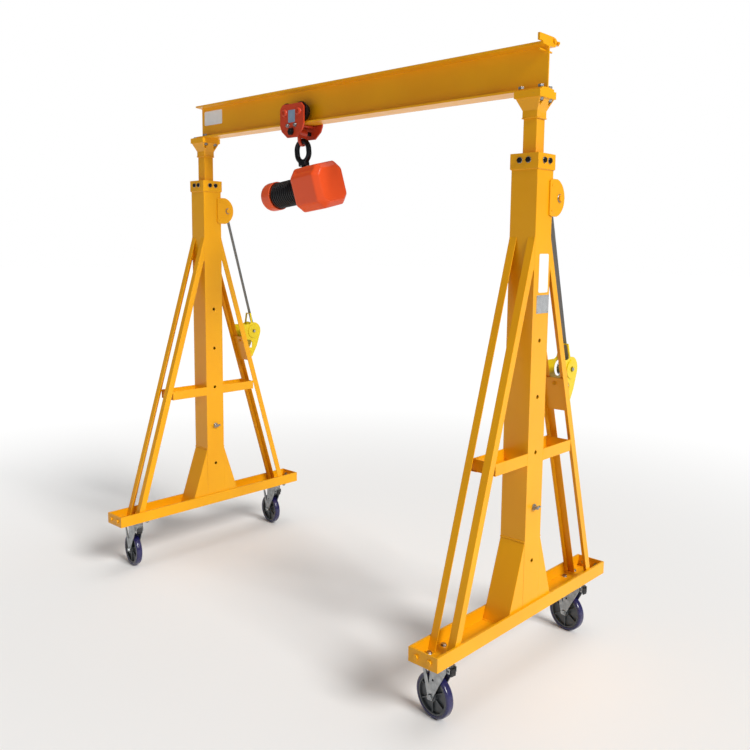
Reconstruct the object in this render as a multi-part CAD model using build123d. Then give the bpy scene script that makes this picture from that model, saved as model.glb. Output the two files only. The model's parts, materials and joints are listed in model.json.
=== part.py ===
from build123d import *
import os
from math import atan, atan2, cos, degrees, hypot, radians, sin, sqrt, tan

# Portable gantry crane with a push trolley and an electric chain hoist.
# Millimetres. X runs along the girder, Y along each leg's base, Z is up.
# The origin is on the floor, in the middle of the overall length; the columns stand a little to +X of
# that because all four casters trail towards -X.

# ---- driving dimensions ------------------------------------------------------------------------
span = 2210.0                  # column centre to column centre
span_shift = 30.0              # from the origin to the middle of the span
base_length = 1290.0           # base channel with its end plates
base_underside = 278.0         # overall height of a caster
channel_width = 140.0
channel_height = 58.0
channel_web = 6.0
channel_flange = 9.5
end_plate = 6.0

column_side = 120.0
column_wall = 5.0
column_top = 2196.0
inner_side = 60.0
inner_wall = 4.0
collar_side = 130.0
collar_bottom = 2140.0
collar_top = 2201.0
collar_bolt_z = 2174.0
collar_bolt_x = 20.0
hole_first = 523.0
hole_pitch = 233.0
hole_count = 5
pin_hole = 1                   # which hole the lock pin sits in, counted from the bottom
pin_diameter = 16.0
lift_clearance = 0.2

angle_leg = 34.0
angle_wall = 4.0
brace_top = 1874.0
brace_foot_y = 535.0           # outer corner of a brace just above the channel floor
foot_top = 617.0
foot_half_length = 175.0
foot_plate = 6.0
mid_frame_bottom = 944.0
mid_frame_height = 50.0

head_plate_side = 120.0
head_plate_bottom = 2415.0
head_plate = 14.0
sole_plate = 14.0
beam_height = 180.0
beam_flange = 94.0
beam_web = 6.5
flange_tip = 8.5
flange_root = 12.9
beam_left_overhang = 22.0      # from the left column's centre to the girder's left end
beam_right_overhang = 58.0     # from the right column's centre to the girder's right end
girder_bolt_x = 45.0
girder_bolt_y = 32.0
girder_bolt = 14.0

wheel_radius = 91.5
tread_width = 34.0
hub_radius = 77.0
caster_y = 511.0
caster_trail = 50.0
caster_yaw = -8.0
yoke_half_length = 70.0
yoke_x = -35.0                 # middle of the yoke, along the caster
caster_bolt_x = 40.0
caster_bolt_y = 45.0
bolt = 12.0

pulley_y = 106.0
pulley_z = 2031.0
pulley_radius = 36.0
pulley_axle = 16.0
strap_width = 25.0
strap_x = -7.0                 # the strap runs to one side of the middle of pulley and drum
strap_thickness = 2.4
winch_y = 318.0
winch_z = 1302.0
drum_radius = 24.0
drum_width = 27.0
guide_y = 318.0                # where the strap passes its guide
guide_z = 1418.0
winch_gap = 30.0               # from the winch's middle to the inner face of a side plate
winch_arch = 55.0              # outer radius of the side plates about the drum
winch_plate_top = 1270.0
winch_plate_bottom = 1122.0
winch_foot = 1140.0

trolley_x = -243.0
trolley_half_width = 89.0
trolley_inner_y = 60.0
trolley_plate = 8.0
trolley_top = 2542.0
trolley_bottom = 2375.0
trolley_wheel = 45.0
trolley_wheel_x = 52.0
load_bar_z = 2404.0
load_bar = 20.0

hook_top = 2362.0              # middle of the hook's upper bend
hook_bottom = 2258.0
hook_reach = 44.0
hook_bar = 27.0
swing = -6.5                   # how far the hook and hoist hang out of plumb, about the load bar
hoist_roll = 13.0
hoist_top = 2224.0
hoist_height = 222.0
hoist_length = 190.0
hoist_width = 215.0
hoist_offset = 105.0           # from the hook to the middle of the gearbox, along the hoist
motor_radius = 68.0
motor_length = 218.0
cap_radius = 75.0
cap_length = 86.0

# ---- worked out --------------------------------------------------------------------------------
floor_z = base_underside + channel_web
channel_top = base_underside + channel_height
left_x = span_shift - span / 2
right_x = span_shift + span / 2
pin_z = hole_first + pin_hole * hole_pitch
inner_bottom = pin_z + pin_diameter / 2 + lift_clearance
brace_slope = (brace_foot_y - column_side / 2) / (brace_top - floor_z - 16)
beam_bottom = head_plate_bottom + head_plate + sole_plate
beam_top = beam_bottom + beam_height
beam_left = left_x - beam_left_overhang
beam_right = right_x + beam_right_overhang
wheel_row_y = beam_flange / 2 - 14
flange_slope = (flange_root - flange_tip) / ((beam_flange - beam_web) / 2)
flange_z_at_tip = beam_bottom + flange_tip
hex_ratio = 2 / sqrt(3)
slant = sqrt(1 + brace_slope ** 2)
wheel_axis_z = flange_z_at_tip + flange_slope * 16 + trolley_wheel + 0.6
motor_z = -hoist_height / 2


# ---- helpers -----------------------------------------------------------------------------------
def block(x0, x1, y0, y1, z0, z1):
    """Box between two corners."""
    size = Box(x1 - x0, y1 - y0, z1 - z0)
    return Pos((x0 + x1) / 2, (y0 + y1) / 2, (z0 + z1) / 2) * size


def disc(radius, height):
    """Upright cylinder that stands on the origin."""
    return Cylinder(radius, height, align=(Align.CENTER, Align.CENTER, Align.MIN))


def rod(axis, start, radius, length):
    """Cylinder from start, along "x", "y" or "z"."""
    turn = {"x": Rot(0, 90, 0), "y": Rot(-90, 0, 0), "z": Rot(0, 0, 0)}[axis]
    return Pos(*start) * turn * disc(radius, length)


def prism_yz(points, x0, x1):
    """Outline in the YZ plane, carried from x0 to x1."""
    face = make_face(Polyline(*[(0, y, z) for y, z in points], close=True))
    return Pos(x0, 0, 0) * extrude(face, x1 - x0, dir=(1, 0, 0))


def prism_xz(points, y0, y1):
    """Outline in the XZ plane, carried from y0 to y1."""
    face = make_face(Polyline(*[(x, 0, z) for x, z in points], close=True))
    return Pos(0, y0, 0) * extrude(face, y1 - y0, dir=(0, 1, 0))


def hex_bolt(place, diameter, length, nut_at=None):
    """Bolt whose head stands on the place's origin, on its +Z side, with the shank along -Z."""
    across = 1.6 * diameter
    head = extrude(RegularPolygon(across / 2 * hex_ratio, 6), 0.65 * diameter)
    shank = Pos(0, 0, -length) * disc(diameter / 2, length)
    solid = head + shank
    if nut_at is not None:
        solid += Pos(0, 0, -nut_at - 0.8 * diameter) * extrude(
            RegularPolygon(across / 2 * hex_ratio, 6), 0.8 * diameter)
    return place * solid


def save(name, *shapes):
    """Write the shapes' solids as one node."""
    solids = [solid for shape in shapes for solid in shape.solids()]
    part = solids[0] if len(solids) == 1 else Compound(solids)
    export_step(part, f"parts/{name}.step")


def four(x, y):
    """The corners of a rectangle about the origin."""
    return [(sx * x, sy * y) for sx in (-1, 1) for sy in (-1, 1)]


def brace_y(z):
    """Outer face of the braces at a height."""
    return column_side / 2 + (brace_top - z) * brace_slope


# ---- one leg, about its own column -------------------------------------------------------------
def base_channel():
    half = base_length / 2 - end_plate
    web = block(-channel_width / 2, channel_width / 2, -half, half, base_underside, floor_z)
    flange = block(channel_width / 2 - channel_flange, channel_width / 2, -half, half, floor_z, channel_top)
    channel = web + flange + mirror(flange, Plane.YZ)
    for side in (-1, 1):
        for x, y in four(caster_bolt_x, caster_bolt_y):
            channel -= rod("z", (x, side * caster_y + y, base_underside - 1), bolt / 2 + 0.5, channel_web + 2)
    plate = block(-channel_width / 2, channel_width / 2, half, half + end_plate, base_underside, channel_top)
    for x in (-32, 32):
        plate -= rod("y", (x, half - 1, base_underside + channel_height / 2), bolt / 2 + 0.5, end_plate + 2)
    return channel, plate, mirror(plate, Plane.XZ)


def outer_column():
    tube = block(-60, 60, -60, 60, floor_z, column_top)
    inside = column_side / 2 - column_wall
    tube -= block(-inside, inside, -inside, inside, floor_z - 1, column_top + 1)
    for i in range(hole_count):
        tube -= rod("x", (-61, 0, hole_first + i * hole_pitch), pin_diameter / 2 + 1, 122)
    for x in (-collar_bolt_x, collar_bolt_x):
        tube -= rod("y", (x, -61, collar_bolt_z), bolt / 2 + 0.25, 122)
        tube -= rod("x", (-61, x, collar_bolt_z), bolt / 2 + 0.25, 122)
    slot = block(strap_x - strap_width / 2 - 5, strap_x + strap_width / 2 + 5, inside - 1, 61,
                 pulley_z, pulley_z + 60)
    return tube - slot


def collar():
    half = collar_side / 2
    ring = block(-half, half, -half, half, collar_bottom, collar_top)
    ring -= block(-60, 60, -60, 60, collar_bottom - 1, column_top)
    ring -= block(-inner_side / 2 - 2, inner_side / 2 + 2, -inner_side / 2 - 2, inner_side / 2 + 2,
                  column_top - 1, collar_top + 1)
    for x in (-collar_bolt_x, collar_bolt_x):
        ring -= rod("y", (x, -half - 1, collar_bolt_z), bolt / 2 + 0.25, collar_side + 2)
        ring -= rod("x", (-half - 1, x, collar_bolt_z), bolt / 2 + 0.25, collar_side + 2)
    return ring


def column_foot():
    """Front and rear shoe: two triangular cheeks and a sloping plate."""
    run = foot_half_length - 60
    rise = foot_top - floor_z
    thick = foot_plate * hypot(run, rise) / rise
    outline = [(60, floor_z), (foot_half_length, floor_z), (60, foot_top)]
    inner = [(60, floor_z - 1), (foot_half_length - thick, floor_z - 1), (60, foot_top - thick * rise / run)]
    shoe = prism_yz(outline, -60, 60)
    shoe -= prism_yz(inner, -60 + foot_plate, 60 - foot_plate)
    return shoe, mirror(shoe, Plane.XZ)


def braces():
    """Four steel angles that lean from the channel floor to the column's corners."""
    low = brace_y(floor_z)
    found = []
    side_leg = angle_leg * slant
    front_leg = angle_wall * slant
    cheek = prism_yz([(low, floor_z), (low - side_leg, floor_z),
                      (60, brace_top - side_leg / brace_slope), (60, brace_top)], 60 - angle_wall, 60)
    face = prism_yz([(low, floor_z), (low - front_leg, floor_z),
                     (60, brace_top - front_leg / brace_slope), (60, brace_top)], 60 - angle_leg, 60)
    brace = cheek + face
    for one in (brace, mirror(brace, Plane.YZ)):
        found += [one, mirror(one, Plane.XZ)]
    return found


def mid_frame():
    """Angle rails from the column to the braces, and a cross bar between each pair of braces."""
    top = mid_frame_bottom + mid_frame_height
    reach = brace_y(top) - angle_leg * slant
    rail = block(60 - angle_wall, 60, 60, reach, mid_frame_bottom, top)
    rail += block(60 - 30, 60 - angle_wall, 60, reach, mid_frame_bottom, mid_frame_bottom + angle_wall)
    bar_y = reach - 2 * angle_wall
    bar = block(-30, 30, bar_y, bar_y + angle_wall, mid_frame_bottom, top)
    bar += block(-60 + angle_wall, 60 - angle_wall, bar_y, bar_y + angle_wall,
                 mid_frame_bottom + angle_wall, top)
    found = []
    for one in (rail, mirror(rail, Plane.YZ), bar):
        found += [one, mirror(one, Plane.XZ)]
    return found


def caster_plates():
    """Mounting plate and upper ball race of each caster."""
    found = []
    for side in (-1, 1):
        plate = block(-55, 55, -62, 62, base_underside - 6, base_underside)
        plate += Pos(0, 0, base_underside - 24) * disc(34, 18)
        plate -= Pos(0, 0, base_underside - 24) * disc(10, 18)
        for x, y in four(caster_bolt_x, caster_bolt_y):
            plate -= rod("z", (x, y, base_underside - 7), bolt / 2 + 0.5, 8)
        found.append(Pos(0, side * caster_y, 0) * plate)
    return found


def leg_bolts():
    """Hex bolts: casters, end plates, collar and winch plate."""
    found = []
    for side in (-1, 1):
        for x, y in four(caster_bolt_x, caster_bolt_y):
            place = Pos(x, side * caster_y + y, floor_z)
            found.append(hex_bolt(place, bolt, 25, channel_web + 6))
        for x in (-32, 32):
            face = Pos(x, side * base_length / 2, base_underside + channel_height / 2)
            found.append(hex_bolt(face * Rot(-90 * side, 0, 0), bolt, 20, end_plate))
        for x in (-collar_bolt_x, collar_bolt_x):
            reach = collar_side / 2
            tip = reach - inner_side / 2 - 0.5
            found.append(hex_bolt(Pos(x, side * reach, collar_bolt_z) * Rot(-90 * side, 0, 0), bolt, tip))
            found.append(hex_bolt(Pos(side * reach, x, collar_bolt_z) * Rot(0, 90 * side, 0), bolt, tip))
    return found


def pulley_housing():
    """D-shaped cheeks on the column's sides, the axle bolt and its two spacers."""
    centre_y = 69.0
    round_plate = rod("x", (60, centre_y, pulley_z), 77, 6)
    cheek = round_plate & block(59, 67, 32, 160, pulley_z - 75, pulley_z + 75)
    cheek -= rod("x", (59, pulley_y, pulley_z), pulley_axle / 2 + 0.2, 8)
    for dz in (-50, 50):
        cheek += rod("x", (66, 50, pulley_z + dz), 5, 2.5)
    spacer = rod("x", (26, pulley_y, pulley_z), 13, 34)
    spacer -= rod("x", (25, pulley_y, pulley_z), pulley_axle / 2 + 0.2, 36)
    axle = hex_bolt(Pos(66, pulley_y, pulley_z) * Rot(0, 90, 0), pulley_axle, 150, 132)
    return cheek, mirror(cheek, Plane.YZ), spacer, mirror(spacer, Plane.YZ), axle


def pulley():
    wheel = rod("x", (-25, pulley_y, pulley_z), pulley_radius, 50)
    rim = rod("x", (-25, pulley_y, pulley_z), pulley_radius + 5, 5)
    wheel += rim + mirror(rim, Plane.YZ)
    return wheel - rod("x", (-26, pulley_y, pulley_z), pulley_axle / 2 + 0.05, 52)


def strap():
    """Webbing from the slot in the column, over the pulley, past its guide and down to the drum."""
    turn = pulley_radius + strap_thickness / 2 + 0.1
    drop_y = winch_y + drum_radius + strap_thickness / 2 + 0.1
    run_y = guide_y - pulley_y
    run_z = pulley_z - guide_z
    lean = atan2(run_y, run_z) - atan2(turn, sqrt(run_y ** 2 + run_z ** 2 - turn ** 2))
    exit_y = pulley_y + turn * cos(lean)
    exit_z = pulley_z + turn * sin(lean)
    entry = Line((42, pulley_z + turn), (pulley_y, pulley_z + turn))
    middle = radians(45 + degrees(lean) / 2)
    over_y = pulley_y + turn * cos(middle)
    over_z = pulley_z + turn * sin(middle)
    over = ThreePointArc((pulley_y, pulley_z + turn), (over_y, over_z), (exit_y, exit_z))
    fall = FilletPolyline((exit_y, exit_z), (guide_y, guide_z), (drop_y, winch_z + 30), (drop_y, winch_z),
                          radius=100)
    band = trace(Curve() + [entry, over] + fall.edges(), strap_thickness)
    return Pos(strap_x, 0, 0) * extrude(Plane.YZ * band, strap_width / 2, both=True)


def winch_plate():
    """Plate across the inner faces of the rear braces, with the bolt that holds the winch."""
    near = angle_wall * slant
    far = near + 8 * slant
    top = winch_plate_top
    bottom = winch_plate_bottom
    plate = prism_yz([(brace_y(top) - near, top), (brace_y(top) - far, top),
                      (brace_y(bottom) - far, bottom), (brace_y(bottom) - near, bottom)], -56, 56)
    bolt_z = top - 25
    turn = Rot(90 - degrees(atan(brace_slope)), 0, 0)
    return plate + hex_bolt(Pos(0, brace_y(bolt_z) - far, bolt_z) * turn, 10, 2)


def winch_frame():
    """Back plate on the braces, arched side plates, spacer bolt, disc cover and strap guide."""
    wall = 3.0
    outer = winch_gap + wall
    back = 4 * slant
    top = winch_plate_top
    foot_y = brace_y(winch_foot)
    frame = prism_yz([(brace_y(top), top), (brace_y(top) + back, top), (foot_y + back, winch_foot),
                      (foot_y, winch_foot)], -outer, outer)
    heel = winch_z + winch_arch * 0.8
    side = prism_yz([(brace_y(heel) + 1, heel), (winch_y, heel), (winch_y + winch_arch * 0.94, winch_z - 19),
                     (winch_y + 27, 1211), (winch_y - 10, winch_foot + 4),
                     (foot_y + 1, winch_foot)], winch_gap, outer)
    side += rod("x", (winch_gap, winch_y, winch_z), winch_arch, wall)
    side -= prism_yz([(262, 1252), (296, 1248), (306, 1232), (306, 1200), (288, 1200), (270, 1226)],
                     winch_gap - 1, outer + 1)
    high = 1400.0
    low = 1100.0
    keep = prism_yz([(brace_y(high), high), (420, high), (420, low), (brace_y(low), low)], -90, 90)
    side = side & keep
    far_side = mirror(side, Plane.YZ)
    ring_gap = rod("x", (-outer - 1, winch_y, winch_z), winch_arch - 19, wall + 2)
    ring_gap -= rod("x", (-outer - 1, winch_y, winch_z), 12, wall + 2)
    ring_gap -= block(-outer - 1, -winch_gap + 1, winch_y, winch_y + winch_arch, winch_z - 9, winch_z + 9)
    frame += side + (far_side - ring_gap)
    frame -= rod("x", (-outer - 1, winch_y, winch_z), 8.05, 2 * outer + 2)
    frame += rod("x", (-outer - 4, winch_y - 18, 1177), 5, 2 * outer + 8)
    cover = rod("x", (outer, winch_y, winch_z), 42, 4) - rod("x", (outer - 1, winch_y, winch_z), 12, 6)
    return frame + cover + strap_guide(outer)


def strap_guide(half_width):
    """Wire arch on the side plates, standing close in front of the strap."""
    bar = 5.0
    foot = winch_z + winch_arch - 8
    crown = guide_z - 4
    narrow = strap_width / 2 + 8
    outline = [(-half_width, foot), (-narrow, crown), (narrow, crown), (half_width, foot),
               (half_width - bar, foot), (narrow - bar, crown - bar), (bar - narrow, crown - bar),
               (bar - half_width, foot)]
    return prism_xz(outline, guide_y - 18, guide_y - 8)


def winch_drum():
    """Drum with its wound strap, flanges, gear and shaft."""
    start = strap_x - drum_width / 2
    drum = rod("x", (start, winch_y, winch_z), drum_radius, drum_width)
    for x in (start - 2, start + drum_width):
        drum += rod("x", (x, winch_y, winch_z), 31, 2)
    gear = rod("x", (21, winch_y, winch_z), 42, 7)
    for i in range(36):
        tooth = Pos(21, 0, 42.5) * Box(7, 3.6, 5, align=(Align.MIN, Align.CENTER, Align.CENTER))
        gear += Pos(0, winch_y, winch_z) * Rot(i * 10, 0, 0) * tooth
    hub = rod("x", (start + drum_width, winch_y, winch_z), 14, 22 - start - drum_width)
    shaft = rod("x", (-36, winch_y, winch_z), 8, 80)
    return drum + gear + hub + shaft


def lock_pin():
    """Round pin across the column, with a collar and a cross handle on its +X end."""
    pin = rod("x", (-72, 0, pin_z), pin_diameter / 2, 154)
    pin += rod("x", (60.2, 0, pin_z), 14, 4)
    pin += rod("y", (76, -22, pin_z), 5, 44)
    return pin


def caster_fork():
    """Yoke, lower race, two windowed legs, pedal lugs and the axle; the wheel trails towards -X."""
    race_z = base_underside - 24.3
    yoke_top = race_z - 12
    leg_in = tread_width / 2 + 4
    leg_out = leg_in + 5
    back = yoke_x - yoke_half_length
    front = yoke_x + yoke_half_length
    race = rod("z", (0, 0, yoke_top), 36, race_z - yoke_top)
    race += rod("z", (0, 0, race_z), 9.5, 17)
    yoke = block(back, front, -leg_out, leg_out, yoke_top - 6, yoke_top)
    axle_x = -caster_trail
    shoulder = yoke_top - 14
    ear = wheel_radius + 3
    tip = wheel_radius - 14
    outline = [(back, yoke_top), (front, yoke_top), (front, shoulder), (axle_x + 16, ear), (axle_x + 9, tip),
               (axle_x - 9, tip), (axle_x - 16, ear), (back, shoulder)]
    window = [(back + 14, shoulder), (back + 54, shoulder), (axle_x - 6, wheel_radius + 48)]
    leg = prism_xz(outline, leg_in, leg_out) - prism_xz(window, leg_in - 1, leg_out + 1)
    leg -= rod("y", (axle_x + 14, leg_in - 1, wheel_radius + 74), 5, 8)
    leg -= rod("y", (axle_x, leg_in - 1, wheel_radius), 6.1, 8)
    lug = block(front - 1, front + 12, 17, 20, yoke_top - 20, yoke_top)
    lug -= rod("y", (front + 7, 16, yoke_top - 10), 3.05, 5)
    fork = race + yoke + leg + mirror(leg, Plane.XZ) + lug + mirror(lug, Plane.XZ)
    axle = hex_bolt(Pos(axle_x, -leg_out, wheel_radius) * Rot(90, 0, 0), 12, 2 * leg_out + 14, 2 * leg_out)
    return fork, axle


def caster_hub():
    """Spoked wheel centre with its rim and bore."""
    x = -caster_trail
    half = tread_width / 2
    hub = rod("y", (x, -half + 2, wheel_radius), hub_radius, tread_width - 4)
    web = rod("y", (x, 4, wheel_radius), hub_radius - 7, half)
    hub -= web + mirror(web, Plane.XZ)
    boss = rod("y", (x, -half - 3, wheel_radius), 22, tread_width + 6)
    hub += boss
    rib = Pos(0, 0, hub_radius - 34) * Box(5, tread_width - 10, 56)
    for i in range(6):
        hub += Pos(x, 0, wheel_radius) * Rot(0, 60 * i, 0) * rib
    return hub - rod("y", (x, -half - 5, wheel_radius), 6.05, tread_width + 10)


def caster_tread():
    """Moulded tyre with bevelled shoulders."""
    x = -caster_trail
    half = tread_width / 2
    tyre = rod("y", (x, -half, wheel_radius), wheel_radius, tread_width)
    tyre = chamfer(tyre.edges().filter_by(GeomType.CIRCLE), 5)
    return tyre - rod("y", (x, -half - 1, wheel_radius), hub_radius, tread_width + 2)


def brake_pedal():
    """Pressed pedal on a pin between the fork's lugs, reaching out over the tyre's front."""
    front = yoke_x + yoke_half_length
    top = base_underside - 42
    pad = prism_xz([(front + 2, top), (front + 12, top), (front + 17, top - 15), (front + 15, top - 27),
                    (front + 11, top - 27), (front + 9, top - 15), (front + 2, top - 12)], -12, 12)
    return pad + rod("y", (front + 7, -22, base_underside - 46.3), 3, 44)


def place_casters(shape):
    """The shape at the front and the rear of a leg, turned to the casters' rest angle."""
    return [Pos(0, side * caster_y, 0) * Rot(0, 0, caster_yaw) * shape for side in (-1, 1)]


def leg(name, x):
    shift = Pos(x, 0, 0)
    fixed = {
        "base_channel": base_channel(), "outer_column": [outer_column()], "collar": [collar()],
        "column_foot": column_foot(), "braces": braces(), "mid_frame": mid_frame(),
        "caster_plates": caster_plates(), "bolts": leg_bolts(), "pulley_housing": pulley_housing(),
        "pulley": [pulley()], "strap": [strap()], "winch_plate": [winch_plate()],
        "winch_frame": [winch_frame()], "winch_drum": [winch_drum()], "lock_pin": [lock_pin()],
    }
    for piece, shapes in fixed.items():
        save(f"{name}_{piece}", *[shift * shape for shape in shapes])
    fork, axle = caster_fork()
    casters = {"fork": [fork, axle], "wheel_hub": [caster_hub()], "tread": [caster_tread()],
               "brake_pedal": [brake_pedal()]}
    for piece, shapes in casters.items():
        placed = [place_casters(shape) for shape in shapes]
        for end, where in enumerate(("front", "rear")):
            save(f"{name}_{where}_{piece}", *[shift * pair[end] for pair in placed])


# ---- girder and inner columns ------------------------------------------------------------------
def girder():
    """Rolled I-beam with tapered flanges, and a sole plate under each end."""
    half = beam_flange / 2
    web = beam_web / 2
    quarter = [(web, beam_bottom + beam_height / 2), (web, beam_bottom + flange_root),
               (half, beam_bottom + flange_tip), (half, beam_bottom)]
    lower = [(y, z) for y, z in quarter]
    outline = lower + [(-y, z) for y, z in reversed(lower)]
    flip = 2 * (beam_bottom + beam_height / 2)
    upper = prism_yz([(y, flip - z) for y, z in outline], beam_left, beam_right)
    beam = prism_yz(outline, beam_left, beam_right) + upper
    found = []
    for x in (left_x, right_x):
        plate = block(x - 60, x + 60, -60, 60, beam_bottom - sole_plate, beam_bottom)
        for dx, y in four(girder_bolt_x, girder_bolt_y):
            hole = rod("z", (x + dx, y, beam_bottom - sole_plate - 1), girder_bolt / 2 + 0.5, sole_plate + 16)
            plate -= hole
            beam -= hole
        found.append(plate)
    return [beam] + found


def inner_column():
    """Square tube with a flared head and the plate that the girder is bolted to."""
    half = inner_side / 2
    inside = half - inner_wall
    tube = block(-half, half, -half, half, inner_bottom, head_plate_bottom)
    sleeve = block(-half - 4, half + 4, -half - 4, half + 4, head_plate_bottom - 76, head_plate_bottom - 46)
    low = Plane.XY.offset(head_plate_bottom - 46) * Rectangle(2 * half + 8, 2 * half + 8)
    high = Plane.XY.offset(head_plate_bottom) * Rectangle(110, 110)
    flare = loft([low.face(), high.face()])
    flare -= Pos(0, 0, head_plate_bottom) * Box(200, 200, 0.01)
    side = head_plate_side / 2
    plate = block(-side, side, -side, side, head_plate_bottom, head_plate_bottom + head_plate)
    column = tube + sleeve + flare + plate
    column -= block(-inside, inside, -inside, inside, inner_bottom - 1, head_plate_bottom)
    for x, y in four(girder_bolt_x, girder_bolt_y):
        column -= rod("z", (x, y, head_plate_bottom - 30), girder_bolt / 2 + 0.5, head_plate + 32)
        column -= rod("z", (x, y, head_plate_bottom - 14), girder_bolt, 14)
    return column


def girder_bolts():
    found = []
    grip = head_plate + sole_plate
    for centre in (left_x, right_x):
        for dx, y in four(girder_bolt_x, girder_bolt_y):
            x = centre + dx
            seat = beam_bottom if x < beam_left else beam_bottom + flange_root - 1.5
            washer = seat - beam_bottom
            found.append(hex_bolt(Pos(x, y, seat), girder_bolt, grip + washer + 13, grip + washer))
    return found


def end_bracket():
    """Upright plate on the girder's right end, with its bolt and rubber bush."""
    back = beam_right - 10
    plate = prism_yz([(-72, beam_top), (72, beam_top), (72, beam_top + 10), (34, beam_top + 27),
                      (-72, beam_top + 27)], back, beam_right)
    plate += hex_bolt(Pos(beam_right, 33, beam_top + 13) * Rot(0, 90, 0), 10, 2)
    plate += rod("x", (beam_right, 58, beam_top + 7.5), 6, 9)
    return plate


# ---- trolley, hook and hoist -------------------------------------------------------------------
def trolley_plates():
    """Two side plates and the spacer rods that join them under the girder."""
    half = trolley_half_width
    shoulder = beam_bottom - 4
    outline = [(-half, trolley_top - 20), (-half + 20, trolley_top), (half - 20, trolley_top),
               (half, trolley_top - 20), (half, shoulder), (half - 12, shoulder - 30), (34, trolley_bottom),
               (-34, trolley_bottom), (12 - half, shoulder - 30), (-half, shoulder)]
    plate = prism_xz(outline, trolley_inner_y, trolley_inner_y + trolley_plate)
    plate = fillet(plate.edges().filter_by(Axis.Y), 9)
    for x in (-trolley_wheel_x, trolley_wheel_x):
        plate -= rod("y", (x, trolley_inner_y - 1, wheel_axis_z), 8.05, trolley_plate + 2)
    plate -= rod("y", (0, trolley_inner_y - 1, load_bar_z), load_bar / 2 + 0.2, trolley_plate + 2)
    both = plate + mirror(plate, Plane.XZ)
    reach = trolley_inner_y + trolley_plate + 6
    for x in (-28, 28):
        both += rod("y", (x, -reach, beam_bottom - 7), 6, 2 * reach)
    return both


def trolley_wheels(x):
    """A coaxial pair of wheels with tapered treads, outer rims and stub axles."""
    inner = trolley_inner_y - 32
    tread = Pos(x, inner, wheel_axis_z) * Rot(-90, 0, 0) * Cone(
        trolley_wheel - flange_slope * 20, trolley_wheel - 0.2, 20,
        align=(Align.CENTER, Align.CENTER, Align.MIN))
    rim = rod("y", (x, inner + 20, wheel_axis_z), trolley_wheel + 6, 9)
    stub = rod("y", (x, inner + 25, wheel_axis_z), 8, 22)
    wheel = tread + rim + stub
    return wheel, mirror(wheel, Plane.XZ)


def load_bar_parts():
    """Cross bar between the side plates, with a nut at each end."""
    reach = trolley_inner_y + trolley_plate
    bar = rod("y", (0, -reach - 16, load_bar_z), load_bar / 2, 2 * reach + 32)
    nut = Pos(0, reach + 1, load_bar_z) * Rot(-90, 0, 0) * extrude(RegularPolygon(19, 6), 12)
    return bar + nut + mirror(nut, Plane.XZ)


def hang(shape):
    """Turn a piece that hangs from the load bar to its rest angle."""
    return Pos(trolley_x, 0, load_bar_z) * Rot(0, swing, 0) * Pos(0, 0, -load_bar_z) * shape


def hanger():
    """Suspension plate that swings on the load bar and carries the hook."""
    eye = hook_bar / 2 + 2
    tip = hook_top - eye - 10
    half = [(24, load_bar_z + 8), (eye + 10, hook_top), (9, tip)]
    top = [(-14, load_bar_z + 20), (14, load_bar_z + 20)]
    plate = prism_yz(top + half + [(-y, z) for y, z in reversed(half)], -7, 7)
    plate += rod("y", (0, -26, load_bar_z), 18, 52)
    plate -= rod("y", (0, -27, load_bar_z), load_bar / 2 + 0.1, 54)
    return plate - rod("x", (-20, 0, hook_top), eye, 40)


def hook():
    """Closed oval hook whose upper bend passes through the hanger, with its shank below."""
    low = hook_bottom + hook_reach
    high = hook_top - hook_reach
    left = Line((-hook_reach, 0, low), (-hook_reach, 0, high))
    over = ThreePointArc((-hook_reach, 0, high), (0, 0, hook_top), (hook_reach, 0, high))
    right = Line((hook_reach, 0, high), (hook_reach, 0, low))
    under = ThreePointArc((hook_reach, 0, low), (0, 0, hook_bottom), (-hook_reach, 0, low))
    wire = Wire([left, over, right, under])
    ring = sweep(Plane(origin=left @ 0, z_dir=left % 0) * Circle(hook_bar / 2), path=wire)
    neck = rod("z", (0, 0, hoist_top + 12), 28, hook_bottom - hoist_top - 12)
    shank = rod("z", (0, 0, hoist_top - 26), 13, 40)
    return ring + neck + shank


def on_hoist(shape):
    """From the hoist's own axes to where it hangs: rolled, with its weight below the hook."""
    shift = -hoist_height / 2 * sin(radians(hoist_roll))
    return Pos(0, shift, hoist_top) * Rot(hoist_roll, 0, 0) * shape


def hoist_body():
    """Gearbox case: chamfered block with a recess along its top front edge."""
    case = Pos(hoist_offset, 0, -hoist_height / 2) * Box(hoist_length, hoist_width, hoist_height)
    case = chamfer(case.edges().filter_by(Axis.X), 42)
    case = chamfer(case.faces().sort_by(Axis.X)[-1].edges(), 26)
    case = chamfer(case.faces().sort_by(Axis.X)[0].edges(), 8)
    recess = Pos(hoist_offset, -hoist_width / 2 + 20, -20) * Rot(45, 0, 0) * Box(hoist_length - 60, 16, 12)
    boss = Pos(0, hoist_height / 2 * sin(radians(hoist_roll)), -26) * Cylinder(34, 30)
    case = on_hoist(case - recess + boss)
    return case - rod("z", (0, 0, hoist_top - 27), 13.1, 80)


def hoist_motor():
    """Ribbed motor barrel behind the gearbox."""
    end = hoist_offset - hoist_length / 2
    barrel = rod("x", (end - motor_length, 0, motor_z), motor_radius - 6, motor_length)
    for i in range(14):
        barrel += rod("x", (end - motor_length + 8 + i * 15, 0, motor_z), motor_radius, 6)
    return on_hoist(barrel - rod("x", (end - motor_length, 0, motor_z), 20, motor_length))


def hoist_cap():
    """Domed end cover over the brake and fan."""
    start = hoist_offset - hoist_length / 2 - motor_length
    cap = rod("x", (start - cap_length, 0, motor_z), cap_radius, cap_length)
    cap = fillet(cap.faces().sort_by(Axis.X)[0].edges(), 34)
    cap -= rod("x", (start - cap_length + 38, 0, motor_z), cap_radius - 6, cap_length)
    return on_hoist(cap)


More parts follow.
